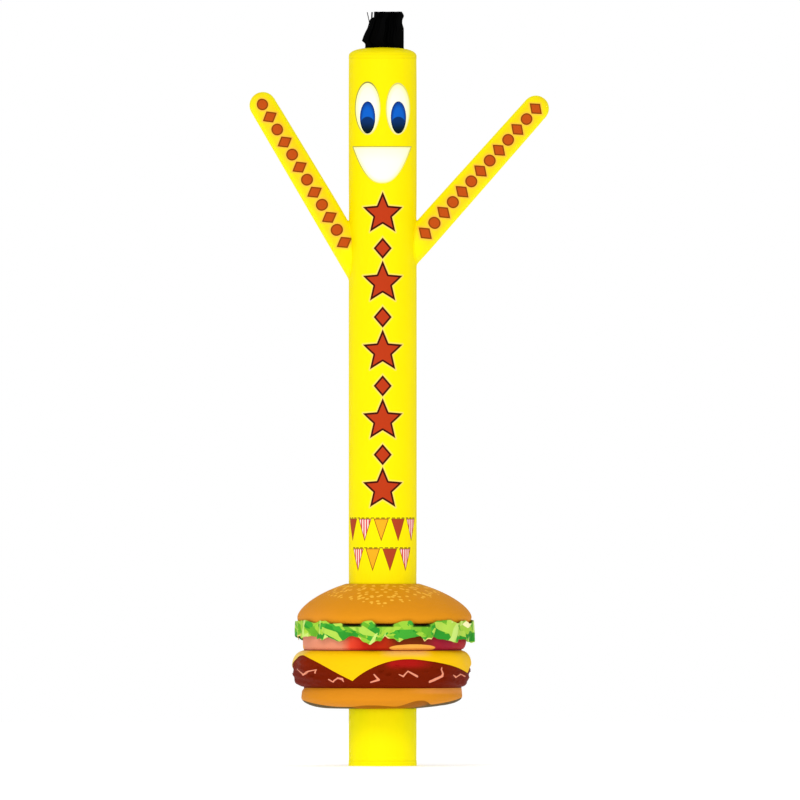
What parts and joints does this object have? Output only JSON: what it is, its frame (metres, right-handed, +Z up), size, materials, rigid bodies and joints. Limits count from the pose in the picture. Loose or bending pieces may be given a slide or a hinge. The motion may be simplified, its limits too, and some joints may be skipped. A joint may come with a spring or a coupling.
{
  "type": "inflatable air dancer",
  "caption": "Tall inflatable tube figure of sewn nylon with raised tube arms, a patched face, a black streamer tuft and a round burger collar.",
  "frame": {"origin": "middle of the whole figure's outline seen from above, on the surface that its hem stands on", "axes": "+Z up along the body tube, +X towards the figure's right-hand side of the picture, +Y backwards, so the face looks along -Y"},
  "size_m": [2.012, 1.2018, 5.0696],
  "materials": {
    "yellow_nylon": "coated nylon, satin",
    "golden_nylon": "coated nylon, satin",
    "white_nylon": "coated nylon, satin",
    "blue_nylon": "coated nylon, satin",
    "black_nylon": "nylon streamers, satin",
    "bun_nylon": "printed nylon, satin",
    "green_nylon": "printed nylon, satin",
    "red_nylon": "printed nylon, satin",
    "cheese_nylon": "coated nylon, satin",
    "brown_nylon": "printed nylon, satin"
  },
  "bodies": {
    "root": {"body_tube": "yellow_nylon", "crown_panel": "yellow_nylon", "arm_left": "golden_nylon", "arm_right": "golden_nylon", "hair_tuft": "black_nylon", "eye_left": "white_nylon", "eye_right": "white_nylon", "iris_left": "blue_nylon", "iris_right": "blue_nylon", "mouth": "white_nylon", "bun_top": "bun_nylon", "lettuce_frill": "green_nylon", "tomato_band": "red_nylon", "cheese_slice": "cheese_nylon", "patty_band": "brown_nylon", "bun_bottom": "bun_nylon"}
  },
  "joints": []
}
